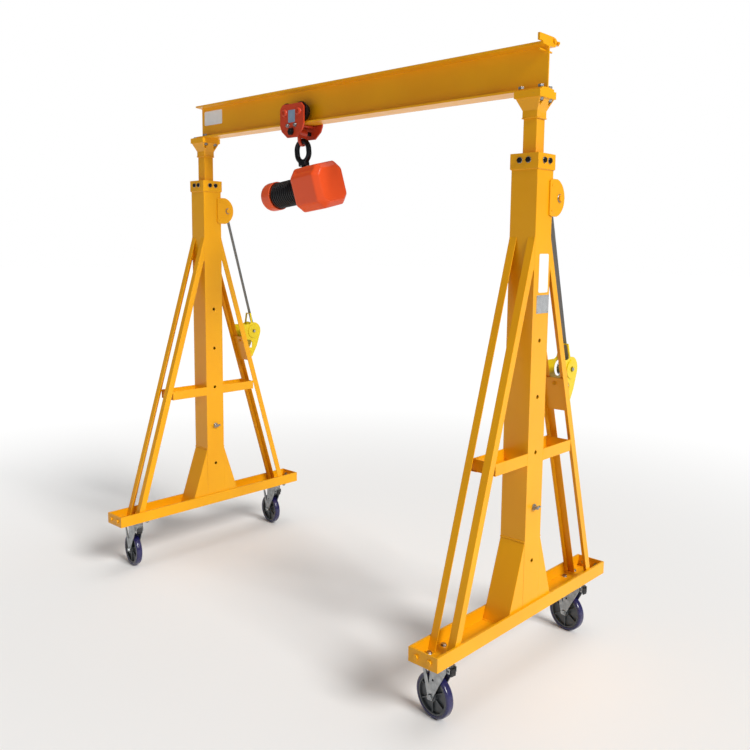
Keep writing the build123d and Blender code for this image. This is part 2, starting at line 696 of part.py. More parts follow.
def main():
    os.makedirs("parts", exist_ok=True)
    leg("left", left_x)
    leg("right", right_x)
    save("girder", *girder())
    save("left_inner_column", Pos(left_x, 0, 0) * inner_column())
    save("right_inner_column", Pos(right_x, 0, 0) * inner_column())
    save("girder_bolts", *girder_bolts())
    save("end_bracket", end_bracket())
    at_trolley = Pos(trolley_x, 0, 0)
    save("trolley_plates", at_trolley * trolley_plates())
    save("trolley_wheels_left", *[at_trolley * wheel for wheel in trolley_wheels(-trolley_wheel_x)])
    save("trolley_wheels_right", *[at_trolley * wheel for wheel in trolley_wheels(trolley_wheel_x)])
    save("load_bar", at_trolley * load_bar_parts())
    save("hanger", hang(hanger()))
    save("hook", hang(hook()))
    save("hoist_body", hang(hoist_body()))
    save("hoist_motor", hang(hoist_motor()))
    save("hoist_cap", hang(hoist_cap()))


main()
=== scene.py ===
"""Looks of the portable gantry crane: paint, metal, plastic, webbing, weld beads, fittings and studio."""
import json
import math

import bmesh
import bpy
from mathutils import Matrix, Vector, noise


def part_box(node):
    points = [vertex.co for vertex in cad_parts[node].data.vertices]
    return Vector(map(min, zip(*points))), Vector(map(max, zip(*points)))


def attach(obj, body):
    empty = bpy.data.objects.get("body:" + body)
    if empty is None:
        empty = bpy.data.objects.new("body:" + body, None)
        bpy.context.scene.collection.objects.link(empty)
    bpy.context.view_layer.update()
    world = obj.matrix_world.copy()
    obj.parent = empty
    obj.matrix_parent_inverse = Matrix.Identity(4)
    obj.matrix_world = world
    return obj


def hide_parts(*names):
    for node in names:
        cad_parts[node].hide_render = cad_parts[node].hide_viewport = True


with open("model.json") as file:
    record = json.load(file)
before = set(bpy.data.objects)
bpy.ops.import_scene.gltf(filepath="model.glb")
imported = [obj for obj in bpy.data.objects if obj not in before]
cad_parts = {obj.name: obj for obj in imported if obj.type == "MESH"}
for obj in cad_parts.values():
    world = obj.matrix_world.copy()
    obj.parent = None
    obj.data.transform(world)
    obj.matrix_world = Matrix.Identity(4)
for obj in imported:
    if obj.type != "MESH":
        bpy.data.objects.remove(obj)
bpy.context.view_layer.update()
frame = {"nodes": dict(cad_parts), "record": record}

NODES = frame["nodes"]
BODY_OF = {n: b for b, members in frame["record"]["behaviour"]["bodies"].items() for n in members}
SLOT_OF = {s["node"]: s["material_slot"] for s in frame["record"]["subparts"]}

# ---- camera ------------------------------------------------------------------------------------
EYE_SIDE = 1.7735          # camera from the right column's centre along X, in metres
EYE_BACK = 2.849           # camera in front of the crane's middle plane
EYE_HEIGHT = 1.8185        # camera above the floor
HEADING = math.radians(42.645)
PITCH = math.radians(6.99)
ROLL = math.radians(0.60)
LENS = 38.63
SENSOR = 36.0
SHIFT_Y = -0.0365
NEAR, FAR = 0.05, 200.0


def node_centre(name):
    """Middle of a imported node's box."""
    low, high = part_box(name)
    return (low + high) / 2


def make_camera():
    """The photograph's view, standing off from the right leg."""
    data = bpy.data.cameras.new("view")
    camera = bpy.data.objects.new("view", data)
    bpy.context.scene.collection.objects.link(camera)
    column = node_centre("right_outer_column")
    camera.location = (column.x + EYE_SIDE, -EYE_BACK, EYE_HEIGHT)
    forward = Vector((-math.sin(HEADING) * math.cos(PITCH), math.cos(HEADING) * math.cos(PITCH),
                      -math.sin(PITCH)))
    level = Vector((math.cos(HEADING), math.sin(HEADING), 0))
    upward = level.cross(forward)
    right = level * math.cos(ROLL) + upward * math.sin(ROLL)
    up = upward * math.cos(ROLL) - level * math.sin(ROLL)
    camera.rotation_euler = Matrix((right, up, -forward)).transposed().to_euler()
    data.lens = LENS
    data.sensor_width = SENSOR
    data.shift_y = SHIFT_Y
    data.clip_start = NEAR
    data.clip_end = FAR
    bpy.context.scene.camera = camera


make_camera()


# ---- materials ---------------------------------------------------------------------------------
PAINT_EDGE = 0.0025        # how wide the chipped edges of paint are
METAL_EDGE = 0.0012        # how wide the brighter edges of bare metal are
CHIP = (0.18, 0.13, 0.08)  # colour of a chip in the paint
WEAR = 0.55                # how far a chip hides the paint
PEEL = 0.00012             # height of the paint's orange peel
GRAIN = 0.0008             # grain of moulded plastic
THREAD = 0.0022            # pitch of the webbing's ribs and threads
WAVE_PERIOD = 0.314        # Wave Texture scale times the width of one band, in metres


class Nodes:
    """Small helper round one material's node tree."""

    def __init__(self, name):
        self.material = bpy.data.materials.new(name)
        self.material.use_nodes = True
        self.tree = self.material.node_tree
        self.tree.nodes.clear()
        self.shader = self.add("ShaderNodeBsdfPrincipled")
        output = self.add("ShaderNodeOutputMaterial")
        self.link(self.shader, "BSDF", output, "Surface")

    def add(self, kind, **settings):
        node = self.tree.nodes.new(kind)
        for key, value in settings.items():
            setattr(node, key, value)
        return node

    def link(self, source, output, target, socket):
        self.tree.links.new(source.outputs[output], target.inputs[socket])

    def place(self, scale=(1, 1, 1)):
        """Object coordinates in metres, stretched."""
        where = self.add("ShaderNodeTexCoord")
        mapping = self.add("ShaderNodeMapping")
        mapping.inputs["Scale"].default_value = scale
        self.link(where, "Object", mapping, "Vector")
        return mapping

    def cloud(self, size, detail=3.0, scale=(1, 1, 1)):
        """Noise whose grain is about size metres."""
        texture = self.add("ShaderNodeTexNoise")
        texture.inputs["Scale"].default_value = 1 / size
        texture.inputs["Detail"].default_value = detail
        self.link(self.place(scale), "Vector", texture, "Vector")
        return texture

    def ramp(self, source, output, stops):
        """Colours at (position, colour) stops along a value."""
        node = self.add("ShaderNodeValToRGB")
        ramp = node.color_ramp
        while len(ramp.elements) < len(stops):
            ramp.elements.new(0.5)
        for element, (where, colour) in zip(ramp.elements, stops):
            element.position = where
            element.color = (*colour, 1)
        self.link(source, output, node, "Fac")
        return node

    def math(self, operation, *values):
        """Arithmetic; each value is a number or (node, output)."""
        node = self.add("ShaderNodeMath", operation=operation)
        for i, value in enumerate(values):
            if isinstance(value, tuple):
                self.tree.links.new(value[0].outputs[value[1]], node.inputs[i])
            else:
                node.inputs[i].default_value = value
        return node

    def mix(self, factor, a, b):
        """Colour mix; each of a and b is a colour or (node, output)."""
        node = self.add("ShaderNodeMix", data_type="RGBA")
        self.tree.links.new(factor[0].outputs[factor[1]], node.inputs[0])
        for i, value in ((6, a), (7, b)):
            if isinstance(value[0], float):
                node.inputs[i].default_value = (*value, 1)
            else:
                self.tree.links.new(value[0].outputs[value[1]], node.inputs[i])
        return node

    def edges(self, radius):
        """Mask that is 1 along worn outer edges."""
        bevel = self.add("ShaderNodeBevel", samples=6)
        bevel.inputs["Radius"].default_value = radius
        plain = self.add("ShaderNodeNewGeometry")
        dot = self.add("ShaderNodeVectorMath", operation="DOT_PRODUCT")
        self.link(bevel, "Normal", dot, 0)
        self.link(plain, "Normal", dot, 1)
        inverse = self.math("SUBTRACT", 1.0, (dot, "Value"))
        step = self.add("ShaderNodeMapRange")
        step.inputs["From Min"].default_value = 0.02
        step.inputs["From Max"].default_value = 0.25
        self.link(inverse, "Value", step, "Value")
        return step

    def bump(self, source, output, height, strength):
        node = self.add("ShaderNodeBump")
        node.inputs["Distance"].default_value = height
        node.inputs["Strength"].default_value = strength
        self.link(source, output, node, "Height")
        self.link(node, "Normal", self.shader, "Normal")


def paint(name, colour, shade, rough=0.3):
    """Sprayed enamel: mottled colour, orange peel, thin dust and chipped edges."""
    n = Nodes(name)
    patches = n.cloud(0.35, 4)
    tone = n.ramp(patches, "Fac", [(0.3, shade), (0.7, colour)])
    grime = n.cloud(0.05, 8)
    dust = n.ramp(grime, "Fac", [(0.62, (0, 0, 0)), (0.82, (1, 1, 1))])
    faint = n.math("MULTIPLY", (dust, "Color"), 0.07)
    dusty = n.mix((faint, "Value"), (tone, "Color"), tuple(c * 0.55 + 0.03 for c in shade))
    rim = n.edges(PAINT_EDGE)
    spots = n.cloud(0.012, 5)
    broken = n.ramp(spots, "Fac", [(0.56, (0, 0, 0)), (0.62, (1, 1, 1))])
    worn = n.math("MULTIPLY", (rim, "Result"), (broken, "Color"))
    worn = n.math("MULTIPLY", (worn, "Value"), WEAR)
    surface = n.mix((worn, "Value"), (dusty, "Result"), CHIP)
    n.link(surface, "Result", n.shader, "Base Color")
    gloss = n.math("MULTIPLY_ADD", (grime, "Fac"), 0.22, rough - 0.1)
    n.link(gloss, "Value", n.shader, "Roughness")
    n.shader.inputs["Specular IOR Level"].default_value = 0.28
    n.shader.inputs["Coat Weight"].default_value = 0.06
    n.shader.inputs["Coat Roughness"].default_value = 0.12
    skin = n.cloud(0.0035, 2)
    n.bump(skin, "Fac", PEEL, 0.6)
    return n.material


def metal(name, colour, rough, grain=(1, 1, 1), stain=0.35, metallic=1.0):
    """Plated or blackened steel with fine grain and faint staining."""
    n = Nodes(name)
    blotch = n.cloud(0.02, 6)
    dark = tuple(c * (1 - stain) for c in colour)
    tone = n.ramp(blotch, "Fac", [(0.35, dark), (0.65, colour)])
    rim = n.edges(METAL_EDGE)
    bright = tuple(min(1.0, c * 1.5 + 0.05) for c in colour)
    half = n.math("MULTIPLY", (rim, "Result"), 0.6)
    surface = n.mix((half, "Value"), (tone, "Color"), bright)
    n.link(surface, "Result", n.shader, "Base Color")
    n.shader.inputs["Metallic"].default_value = metallic
    lines = n.cloud(0.002, 3, grain)
    gloss = n.math("MULTIPLY_ADD", (lines, "Fac"), 0.25, rough - 0.12)
    n.link(gloss, "Value", n.shader, "Roughness")
    n.bump(lines, "Fac", 0.00005, 0.5)
    return n.material


def plastic(name, colour, shade, rough, coat=0.0):
    """Moulded plastic or polyurethane with fine texture and scuffs."""
    n = Nodes(name)
    scuffs = n.cloud(0.03, 7)
    tone = n.ramp(scuffs, "Fac", [(0.35, shade), (0.7, colour)])
    n.link(tone, "Color", n.shader, "Base Color")
    gloss = n.math("MULTIPLY_ADD", (scuffs, "Fac"), 0.3, rough - 0.15)
    n.link(gloss, "Value", n.shader, "Roughness")
    n.shader.inputs["Coat Weight"].default_value = coat
    fine = n.cloud(GRAIN, 2)
    n.bump(fine, "Fac", 0.00006, 0.5)
    return n.material


def webbing(name, colour, shade):
    """Woven strap: ribs across, threads along, mottled by use, with painted shade in the weave's hollows."""
    n = Nodes(name)
    across = n.add("ShaderNodeTexWave", bands_direction="Z")
    across.inputs["Scale"].default_value = WAVE_PERIOD / THREAD
    n.link(n.place(), "Vector", across, "Vector")
    along = n.add("ShaderNodeTexWave", bands_direction="X")
    along.inputs["Scale"].default_value = WAVE_PERIOD / THREAD
    n.link(n.place(), "Vector", along, "Vector")
    weave = n.math("MULTIPLY", (across, "Fac"), (along, "Fac"))
    wearing = n.cloud(0.08, 6)
    tone = n.ramp(wearing, "Fac", [(0.3, shade), (0.7, colour)])
    # painted shade: the hollows between the weave's ribs and threads are darkened towards a dark copy of the
    # strap's colour
    hollows_shaded = n.mix((weave, "Value"), tuple(c * 0.55 for c in shade), (tone, "Color"))
    n.link(hollows_shaded, "Result", n.shader, "Base Color")
    n.shader.inputs["Roughness"].default_value = 0.8
    n.shader.inputs["Sheen Weight"].default_value = 0.3
    n.bump(weave, "Value", 0.0004, 0.8)
    return n.material


MATERIALS = {
    "yellow_paint": paint("yellow_paint", (0.86, 0.40, 0.004), (0.80, 0.345, 0.003), rough=0.32),
    "winch_yellow": paint("winch_yellow", (0.76, 0.57, 0.01), (0.68, 0.49, 0.008)),
    "red_paint": paint("red_paint", (0.62, 0.060, 0.018), (0.52, 0.045, 0.014)),
    "hoist_paint": paint("hoist_paint", (0.78, 0.095, 0.020), (0.70, 0.075, 0.016), rough=0.34),
    "hoist_case": paint("hoist_case", (0.80, 0.085, 0.012), (0.74, 0.070, 0.010), rough=0.36),
    "motor": metal("motor", (0.012, 0.012, 0.014), 0.45, metallic=0.2),
    "dark_steel": metal("dark_steel", (0.018, 0.020, 0.024), 0.38, metallic=0.75),
    "fastener": metal("fastener", (0.42, 0.42, 0.42), 0.34),
    "zinc": metal("zinc", (0.46, 0.48, 0.49), 0.38),
    "wheel_hub": plastic("wheel_hub", (0.085, 0.095, 0.105), (0.050, 0.057, 0.064), 0.42, coat=0.2),
    "tread": plastic("tread", (0.018, 0.016, 0.095), (0.012, 0.010, 0.070), 0.28, coat=0.4),
    "pedal": plastic("pedal", (0.015, 0.015, 0.016), (0.008, 0.008, 0.009), 0.5),
    "label": plastic("label", (0.86, 0.87, 0.86), (0.80, 0.81, 0.80), 0.4, coat=0.3),
    "trolley_label": plastic("trolley_label", (0.24, 0.34, 0.46), (0.20, 0.29, 0.41), 0.4, coat=0.2),
    "data_plate": metal("data_plate", (0.60, 0.61, 0.62), 0.3, grain=(1, 1, 12), stain=0.15),
    "webbing": webbing("webbing", (0.46, 0.54, 0.60), (0.34, 0.42, 0.48)),
}


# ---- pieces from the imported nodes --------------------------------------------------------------
SHARP_ANGLE = 35.0         # edges steeper than this are shaded sharp, in degrees
BEVEL_ANGLE = 40.0         # edges steeper than this are rounded, in degrees


def add_object(name, mesh, body, slot, smooth_angle=SHARP_ANGLE):
    """A piece made of a mesh, riding on a body, in the finish of that name."""
    piece = bpy.data.objects.new(name, mesh)
    bpy.context.scene.collection.objects.link(piece)
    mesh.materials.clear()
    mesh.materials.append(MATERIALS[slot])
    mesh.shade_smooth()
    mesh.set_sharp_from_angle(angle=math.radians(smooth_angle))
    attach(piece, body)
    return piece


def bevel_edges(piece, width, segments=2):
    """Round the piece's edges."""
    bevel = piece.modifiers.new("rounded", "BEVEL")
    bevel.width = width
    bevel.segments = segments
    bevel.limit_method = "ANGLE"
    bevel.angle_limit = math.radians(BEVEL_ANGLE)
    bevel.harden_normals = True


def part_solids(bm):
    """Give solids that touch each other their own vertices, so that each stays closed."""
    crossings = [edge for edge in bm.edges if len(edge.link_faces) > 2]
    if not crossings:
        return
    todo = set(bm.faces)
    groups = []
    while todo:
        first = todo.pop()
        group, front = [first], [first]
        while front:
            face = front.pop()
            for edge in face.edges:
                if len(edge.link_faces) != 2:
                    continue
                for near in edge.link_faces:
                    if near in todo:
                        todo.remove(near)
                        group.append(near)
                        front.append(near)
        groups.append(group)
    for group in groups[1:]:
        bmesh.ops.split(bm, geom=group)


def rounded(node, width, segments=2, name=None):
    """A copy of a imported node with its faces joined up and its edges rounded, standing for it."""
    bm = bmesh.new()
    bm.from_mesh(NODES[node].data)
    bmesh.ops.remove_doubles(bm, verts=bm.verts, dist=2e-6)
    part_solids(bm)
    bmesh.ops.dissolve_limit(bm, angle_limit=math.radians(1.0), verts=bm.verts, edges=bm.edges)
    mesh = bpy.data.meshes.new(name or node + "_shown")
    bm.to_mesh(mesh)
    bm.free()
    piece = add_object(name or node + "_shown", mesh, BODY_OF[node], SLOT_OF[node])
    bevel_edges(piece, width, segments)
    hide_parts(node)
    return piece


def finish_bolts(piece, side):
    """The end plates' bolts were sprayed with the leg, the collar's are blackened, the rest are bare."""
    mesh = piece.data
    mesh.materials.append(MATERIALS["yellow_paint"])
    mesh.materials.append(MATERIALS["dark_steel"])
    collar_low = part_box(f"{side}_collar")[0].z
    channel_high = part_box(f"{side}_base_channel")[1]
    reach = channel_high.y - 0.004             # just inside the end plates' outer faces
    channel_top = channel_high.z + 0.01        # just above the channel and below the collar
    for face in mesh.polygons:
        if face.center.z < channel_top and abs(face.center.y) > reach:
            face.material_index = 1
        elif face.center.z > collar_low:
            face.material_index = 2


def paint_axle_ends(piece):
    """The outer ends of the trolley's stub axles carry the plates' red paint."""
    mesh = piece.data
    mesh.materials.append(MATERIALS["red_paint"])
    tip = max(abs(vertex.co.y) for vertex in mesh.vertices) - 0.0015
    for face in mesh.polygons:
        if abs(face.center.y) > tip:
            face.material_index = 1


# how far the edges of each kind of node are rounded, in metres
EDGE = {"tread": 0.0055, "outer_column": 0.004, "base_channel": 0.0025, "column_foot": 0.002,
        "collar": 0.0015, "braces": 0.0012, "mid_frame": 0.0012, "bolts": 0.0008}
OTHER_EDGE = 0.001


def edge_width(node):
    for ending, width in EDGE.items():
        if node.endswith(ending):
            return width
    return OTHER_EDGE


# nodes that are shown in their own way further on
CUSTOM = {"hook", "hoist_body", "hoist_cap", "hoist_motor", "left_strap", "right_strap"}

for node_name in sorted(set(NODES) - CUSTOM):
    shown = rounded(node_name, edge_width(node_name))
    if node_name in ("left_bolts", "right_bolts"):
        finish_bolts(shown, node_name.split("_")[0])
    elif node_name.startswith("trolley_wheels"):
        paint_axle_ends(shown)


# ---- weld beads --------------------------------------------------------------------------------
LEG_CENTRES = {side: node_centre(f"{side}_outer_column") for side in ("left", "right")}
BEAD_STEP = 0.003          # from one section of a bead to the next
BEAD_RIPPLE = 0.0065       # length of one ripple
BEAD_SIDES = 7
COLUMN_HALF = 0.060
BRACE_ANGLE = 0.034        # how wide a brace's flange is
BRACE_CAP = 0.134          # length of a brace's weld on the column
SOLE_PLATE = 0.014         # thickness of the girder's sole plates
END_BEAD_IN = 0.020        # the bead near the girder's right end: from the end,
END_BEAD_DROP = 0.027      # and below the girder's top
SLEEVE_DROP = 0.089        # from the head plate's top down to the sleeve's foot
SEAM_DROP = 0.0135         # from the head plate's top down to its seam with the flare


def bead_points(corners, closed):
    """Evenly spaced points along straight runs."""
    runs = list(zip(corners, corners[1:] + corners[:1] if closed else corners[1:]))
    points = []
    for start, end in runs:
        count = max(2, int((end - start).length / BEAD_STEP))
        points += [start.lerp(end, i / count) for i in range(count)]
    if not closed:
        points.append(corners[-1])
    return points


def add_bead(bm, corners, radius, closed=False):
    """One rippled weld bead along the corners, pushed half into the joint."""
    points = bead_points([Vector(c) for c in corners], closed)
    rings = []
    travelled = 0.0
    for i, point in enumerate(points):
        after = points[(i + 1) % len(points)] if closed or i + 1 < len(points) else point
        before = points[i - 1] if closed or i > 0 else point
        along = (after - before).normalized()
        travelled += (point - before).length
        across = along.cross(Vector((0.31, 0.52, 0.79))).normalized()
        other = along.cross(across)
        ripple = 1 + 0.14 * math.sin(2 * math.pi * travelled / BEAD_RIPPLE)
        swell = ripple + 0.22 * noise.noise(point * 60)
        ring = []
        for k in range(BEAD_SIDES):
            turn = 2 * math.pi * k / BEAD_SIDES
            arm = across * math.cos(turn) + other * math.sin(turn)
            ring.append(bm.verts.new(point + arm * radius * swell))
        rings.append(ring)
    pairs = list(zip(rings, rings[1:] + rings[:1] if closed else rings[1:]))
    for low, high in pairs:
        for k in range(BEAD_SIDES):
            beside = (k + 1) % BEAD_SIDES
            bm.faces.new((low[k], low[beside], high[beside], high[k]))
    if not closed:
        bm.faces.new(list(reversed(rings[0])))
        bm.faces.new(rings[-1])


def welds(name, body, runs):
    """One piece of beads; each run is (corners, radius, whether it closes on itself)."""
    bm = bmesh.new()
    for corners, radius, closed in runs:
        add_bead(bm, corners, radius, closed)
    bmesh.ops.recalc_face_normals(bm, faces=bm.faces)
    mesh = bpy.data.meshes.new(name)
    bm.to_mesh(mesh)
    bm.free()
    add_object(name, mesh, body, "yellow_paint", 60)


AROUND = ((-1, -1), (1, -1), (1, 1), (-1, 1))


def square(centre, half, z):
    """Corners of a level square."""
    return [(centre.x + sx * half, centre.y + sy * half, z) for sx, sy in AROUND]


def leg_welds(side):
    """Beads round the collar, the column's foot, the mid frame and the braces of one leg."""
    centre = LEG_CENTRES[side]
    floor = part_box(f"{side}_outer_column")[0].z
    foot_low, foot_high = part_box(f"{side}_column_foot")
    collar_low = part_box(f"{side}_collar")[0].z
    half = COLUMN_HALF
    runs = [(square(centre, half + 0.0005, collar_low), 0.0032, True)]
    for end in (-1, 1):
        toe = end * foot_high.y
        runs.append(([(centre.x - half, toe, floor), (centre.x + half, toe, floor)], 0.0040, False))
        runs.append(([(centre.x - half, end * half, foot_high.z), (centre.x + half, end * half, foot_high.z)],
                     0.0038, False))
        for edge in (-1, 1):
            x = centre.x + edge * half
            runs.append(([(x, end * half, floor), (x, toe, floor)], 0.0035, False))
    frame_low, frame_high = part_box(f"{side}_mid_frame")
    for end in (-1, 1):
        for edge in (-1, 1):
            x = centre.x + edge * (half - 0.002)
            runs.append(([(x, end * half, frame_low.z), (x, end * half, frame_high.z)], 0.0030, False))
            runs.append(([(x, end * (frame_high.y - 0.004), frame_low.z),
                          (x, end * (frame_high.y - 0.001), frame_high.z)], 0.0030, False))
    brace_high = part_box(f"{side}_braces")[1]
    for end in (-1, 1):
        for edge in (-1, 1):
            toe = end * (brace_high.y - 0.001)
            x = centre.x + edge * half
            runs.append(([(x, toe, floor), (x - edge * BRACE_ANGLE, toe, floor)], 0.0035, False))
            runs.append(([(x, toe, floor), (x, toe - end * BRACE_ANGLE * 1.05, floor)], 0.0032, False))
            inset = x - edge * 0.003
            face = end * (half + 0.001)
            runs.append(([(inset, face, brace_high.z - BRACE_CAP), (inset, face, brace_high.z - 0.002)],
                         0.0028, False))
    welds(f"{side}_welds", f"{side}_leg", runs)


for leg_side in ("left", "right"):
    leg_welds(leg_side)


def girder_welds():
    """Beads along the sole plates, round the heads of both inner columns and near the right end."""
    runs = []
    low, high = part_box("girder")
    seat = low.z + SOLE_PLATE
    head_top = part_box("left_inner_column")[1].z
    for centre in LEG_CENTRES.values():
        for y in (-1, 1):
            start = max(centre.x - 0.058, low.x + 0.002)
            end = centre.x + 0.056
            runs.append(([(start, y * 0.0475, seat), (end, y * 0.0475, seat)], 0.0035, False))
        runs.append((square(centre, 0.0345, head_top - SLEEVE_DROP), 0.0028, True))
        runs.append((square(centre, 0.053, head_top - SEAM_DROP), 0.0030, True))
    bead_x = high.x - END_BEAD_IN
    bead_z = high.z - END_BEAD_DROP
    runs.append(([(bead_x, -0.046, bead_z), (bead_x, 0.046, bead_z)], 0.004, False))
    welds("girder_welds", "girder", runs)


girder_welds()


# ---- strap, hook, hoist ------------------------------------------------------------------------
for leg_side in ("left", "right"):
    rounded(f"{leg_side}_strap", 0.0009, 2, f"{leg_side}_strap_woven")
rounded("hook", 0.004, 3, "hook_forged")
rounded("hoist_motor", 0.0015, 2, "hoist_motor_ribbed")


def cast(node, name, voxel, rounds):
    """A packed casting with its edges flowed round: re-meshed evenly, then relaxed."""
    piece = rounded(node, 0.001, 1, name)
    piece.modifiers.clear()
    remesh = piece.modifiers.new("even", "REMESH")
    remesh.mode = "VOXEL"
    remesh.voxel_size = voxel
    remesh.use_smooth_shade = True
    relax = piece.modifiers.new("relaxed", "SMOOTH")
    relax.factor = 0.5
    relax.iterations = rounds
    return piece


cast("hoist_body", "hoist_case_moulded", 0.0035, 24)
cast("hoist_cap", "hoist_cap_moulded", 0.0025, 12)


# ---- small fittings ----------------------------------------------------------------------------
COLLAR_BOLT_RISE = 0.034   # the collar's bolts above its lower edge
COLLAR_BOLT_SIDE = 0.020   # and beside its middle
CASTER_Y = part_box("left_caster_plates")[1].y - 0.062
CASTER_BOLT_X = 0.040
CASTER_BOLT_Y = 0.045
CHANNEL_WEB = 0.006
BOLT_WASHER = 0.0125       # radii of the washers
AXLE_WASHER = 0.017
CHEEK_FACE = 0.066         # outer faces of the pulley's cheeks from the column's centre
LABEL_Y = 0.012            # middle of the column's label and data plate
DATA_PLATE_Z = 1.603
RIVET_Y = 0.041            # the data plate's rivets from its middle
RIVET_Z = 0.032
WEB_FACE = -0.00325        # front face of the girder's web
TROLLEY_FACE = 0.068       # outer faces of the trolley's plates


def show(name, bm, body, slot, bevel=0.0, smooth_angle=SHARP_ANGLE):
    """Turn a finished bmesh into a piece, with rounded edges if bevel is given."""
    bmesh.ops.recalc_face_normals(bm, faces=bm.faces)
    mesh = bpy.data.meshes.new(name)
    bm.to_mesh(mesh)
    bm.free()
    piece = add_object(name, mesh, body, slot, smooth_angle)
    if bevel:
        bevel_edges(piece, bevel)


def turned(bm, start, axis, profile, sides):
    """Turned shape: profile is (distance along the axis, radius) pairs from start."""
    axis = Vector(axis).normalized()
    across = axis.orthogonal().normalized()
    other = axis.cross(across)
    rings = []
    for along, radius in profile:
        ring = []
        for k in range(sides):
            turn = 2 * math.pi * k / sides
            arm = across * math.cos(turn) + other * math.sin(turn)
            ring.append(bm.verts.new(Vector(start) + axis * along + arm * radius))
        rings.append(ring)
    for low, high in zip(rings, rings[1:]):
        for k in range(sides):
            bm.faces.new((low[k], low[(k + 1) % sides], high[(k + 1) % sides], high[k]))
    bm.faces.new(list(reversed(rings[0])))
    bm.faces.new(rings[-1])


def ring(bm, start, axis, profile, sides):
    """Closed turned ring: profile is (radius, distance along the axis) pairs round its section."""
    axis = Vector(axis).normalized()
    across = axis.orthogonal().normalized()
    other = axis.cross(across)
    rings = []
    for k in range(sides):
        turn = 2 * math.pi * k / sides
        arm = across * math.cos(turn) + other * math.sin(turn)
        rings.append([bm.verts.new(Vector(start) + arm * radius + axis * along) for radius, along in profile])
    count = len(profile)
    for low, high in zip(rings, rings[1:] + rings[:1]):
        for k in range(count):
            bm.faces.new((low[k], low[(k + 1) % count], high[(k + 1) % count], high[k]))


def washer(bm, seat, axis, radius, thick=0.0024):
    """A washer lying on its seat, sunk a little into it."""
    turned(bm, seat, axis, [(-0.0002, radius), (thick * 0.7, radius), (thick, radius - thick * 0.3)], 32)


CORNER_STEPS = 6


def plate(bm, centre, normal, up, width, height, thick, corner):
    """Thin plate with rounded corners lying on a face."""
    normal = Vector(normal)
    up = Vector(up)
    side = up.cross(normal)
    rim = []
    for sx, sy, start in ((1, 1, 0), (-1, 1, 90), (-1, -1, 180), (1, -1, 270)):
        for i in range(CORNER_STEPS + 1):
            turn = math.radians(start + 90 * i / CORNER_STEPS)
            x = sx * (width / 2 - corner) + corner * math.cos(turn)
            y = sy * (height / 2 - corner) + corner * math.sin(turn)
            rim.append(Vector(centre) + side * x + up * y)
    low = [bm.verts.new(point - normal * 0.0003) for point in rim]
    high = [bm.verts.new(point + normal * thick) for point in rim]
    count = len(rim)
    for k in range(count):
        bm.faces.new((low[k], low[(k + 1) % count], high[(k + 1) % count], high[k]))
    bm.faces.new(high)
    bm.faces.new(list(reversed(low)))


def leg_fittings(side):
    """Washers under the leg's bolt heads and beside its pulley."""
    centre = LEG_CENTRES[side]
    channel_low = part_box(f"{side}_base_channel")[0]
    collar_low, collar_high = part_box(f"{side}_collar")
    collar_half = collar_high.x - centre.x
    bolt_z = collar_low.z + COLLAR_BOLT_RISE
    bm = bmesh.new()
    for sign in (-1, 1):
        for offset in (-COLLAR_BOLT_SIDE, COLLAR_BOLT_SIDE):
            washer(bm, (centre.x + offset, collar_high.y * sign, bolt_z), (0, sign, 0), BOLT_WASHER)
            washer(bm, (centre.x + sign * collar_half, offset, bolt_z), (sign, 0, 0), BOLT_WASHER)
        for offset_x in (-CASTER_BOLT_X, CASTER_BOLT_X):
            for offset_y in (-CASTER_BOLT_Y, CASTER_BOLT_Y):
                seat = (centre.x + offset_x, sign * CASTER_Y + offset_y, channel_low.z + CHANNEL_WEB)
                washer(bm, seat, (0, 0, 1), BOLT_WASHER)
    hub = node_centre(f"{side}_pulley")
    for sign in (-1, 1):
        washer(bm, (centre.x + sign * CHEEK_FACE, hub.y, hub.z), (sign, 0, 0), AXLE_WASHER, 0.003)
    show(f"{side}_washers", bm, f"{side}_leg", "fastener")


def column_labels():
    """Blank label, and a riveted data plate under it, on the right column's outer face."""
    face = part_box("right_outer_column")[1].x
    bm = bmesh.new()
    plate(bm, (face, LABEL_Y, 1.728), (1, 0, 0), (0, 0, 1), 0.070, 0.156, 0.0006, 0.008)
    show("column_label", bm, "right_leg", "label")
    bm = bmesh.new()
    plate(bm, (face, LABEL_Y, DATA_PLATE_Z), (1, 0, 0), (0, 0, 1), 0.092, 0.074, 0.0010, 0.003)
    show("column_data_plate", bm, "right_leg", "data_plate")
    bm = bmesh.new()
    profile = [(0, 0.0028), (0.0010, 0.0026), (0.0018, 0.0014)]
    for z in (DATA_PLATE_Z + RIVET_Z, DATA_PLATE_Z - RIVET_Z):
        for y in (LABEL_Y - RIVET_Y, LABEL_Y + RIVET_Y):
            turned(bm, (face + 0.0008, y, z), (1, 0, 0), profile, 20)
    show("data_plate_rivets", bm, "right_leg", "fastener")


def girder_label():
    """Blank label on the web, near the left column."""
    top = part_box("girder")[1].z
    bm = bmesh.new()
    middle = (LEG_CENTRES["left"].x + 0.085, WEB_FACE, top - 0.068)
    plate(bm, middle, (0, -1, 0), (0, 0, 1), 0.165, 0.078, 0.0008, 0.006)
    show("girder_label", bm, "girder", "label")


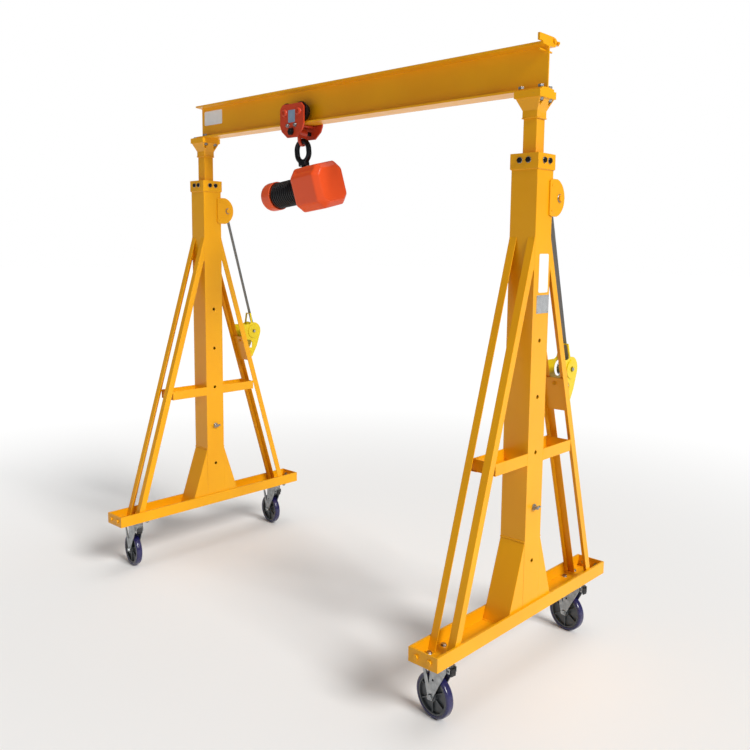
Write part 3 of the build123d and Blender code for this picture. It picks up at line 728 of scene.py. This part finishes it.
def trolley_fittings():
    """Outside of the trolley's plates: rings round the axle ends, a blank label, the spacers' nuts."""
    low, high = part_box("trolley_plates")
    middle = (low.x + high.x) / 2
    axle_z = node_centre("trolley_wheels_left").z
    bm = bmesh.new()
    boss = [(0.0195, 0.0), (0.0185, 0.005), (0.0135, 0.0098), (0.0110, 0.0104), (0.0090, 0.0098),
            (0.0090, -0.0005), (0.0195, -0.0005)]
    for sign in (-1, 1):
        for dx in (-0.052, 0.052):
            ring(bm, (middle + dx, sign * TROLLEY_FACE, axle_z), (0, sign, 0), boss, 40)
    show("trolley_bosses", bm, "trolley", "red_paint", smooth_angle=60)
    bm = bmesh.new()
    centre = (middle, -TROLLEY_FACE, axle_z - 0.018)
    plate(bm, centre, (0, -1, 0), (0, 0, 1), 0.052, 0.062, 0.0007, 0.004)
    show("trolley_label", bm, "trolley", "trolley_label")
    bm = bmesh.new()
    nut = [(0, 0.0115), (0.0022, 0.0115), (0.0024, 0.009), (0.009, 0.009), (0.0105, 0.007)]
    for sign in (-1, 1):
        for dx in (-0.028, 0.028):
            turned(bm, (middle + dx, sign * TROLLEY_FACE, axle_z - 0.063), (0, sign, 0), nut, 6)
    show("trolley_spacer_nuts", bm, "trolley", "fastener", 0.0006)


for leg_side in ("left", "right"):
    leg_fittings(leg_side)
column_labels()
girder_label()
trolley_fittings()


# ---- studio ------------------------------------------------------------------------------------
AMBIENT = 0.20             # how strongly the white surroundings light the object
FLOOR_REACH = 60.0
FADE_NEAR, FADE_FAR = 1.6, 6.0


def sun(name, direction, strength, softness, colour=(1, 1, 1)):
    """A distant light; softness is its width in degrees."""
    data = bpy.data.lights.new(name, "SUN")
    data.energy = strength
    data.angle = math.radians(softness)
    data.color = colour
    lamp = bpy.data.objects.new(name, data)
    bpy.context.scene.collection.objects.link(lamp)
    lamp.rotation_euler = (-Vector(direction)).to_track_quat("-Z", "Y").to_euler()


def floor_material():
    """Pale floor that glows white with distance from the crane: painted light that fades it into the white
    surroundings.
    """
    n = Nodes("floor_material")
    n.shader.inputs["Roughness"].default_value = 0.75
    where = n.add("ShaderNodeTexCoord")
    length = n.add("ShaderNodeVectorMath", operation="LENGTH")
    n.link(where, "Object", length, 0)
    painted_glow = n.add("ShaderNodeMapRange", interpolation_type="SMOOTHSTEP")
    painted_glow.inputs["From Min"].default_value = FADE_NEAR
    painted_glow.inputs["From Max"].default_value = FADE_FAR
    n.link(length, "Value", painted_glow, "Value")
    # painted light: the floor starts to glow white at FADE_NEAR, glows fully at FADE_FAR, and its own colour
    # goes black there
    n.link(painted_glow, "Result", n.shader, "Emission Strength")
    n.shader.inputs["Emission Color"].default_value = (1, 1, 1, 1)
    dark = n.mix((painted_glow, "Result"), (0.88, 0.88, 0.88), (0.0, 0.0, 0.0))
    n.link(dark, "Result", n.shader, "Base Color")
    return n.material


def make_world():
    """White behind everything, with a much weaker light on the object."""
    world = bpy.data.worlds.new("studio")
    world.use_nodes = True
    tree = world.node_tree
    back = tree.nodes["Background"]
    path = tree.nodes.new("ShaderNodeLightPath")
    strength = tree.nodes.new("ShaderNodeMapRange")
    strength.inputs["To Min"].default_value = AMBIENT
    strength.inputs["To Max"].default_value = 1.0
    tree.links.new(path.outputs["Is Camera Ray"], strength.inputs["Value"])
    tree.links.new(strength.outputs["Result"], back.inputs["Strength"])
    back.inputs["Color"].default_value = (1, 1, 1, 1)
    bpy.context.scene.world = world


def make_studio():
    """Floor, white surroundings and two soft lights."""
    mesh = bpy.data.meshes.new("floor")
    corners = [(sx * FLOOR_REACH, sy * FLOOR_REACH, 0) for sx, sy in AROUND]
    mesh.from_pydata(corners, [], [(0, 1, 2, 3)])
    floor = bpy.data.objects.new("floor", mesh)
    bpy.context.scene.collection.objects.link(floor)
    mesh.materials.append(floor_material())
    make_world()
    sun("key", (0.82, -0.06, 0.60), 3.0, 22, (1.0, 0.985, 0.96))
    sun("top", (0.1, 0.3, 1.0), 0.7, 40)
    bpy.context.scene.view_settings.view_transform = "Standard"


make_studio()
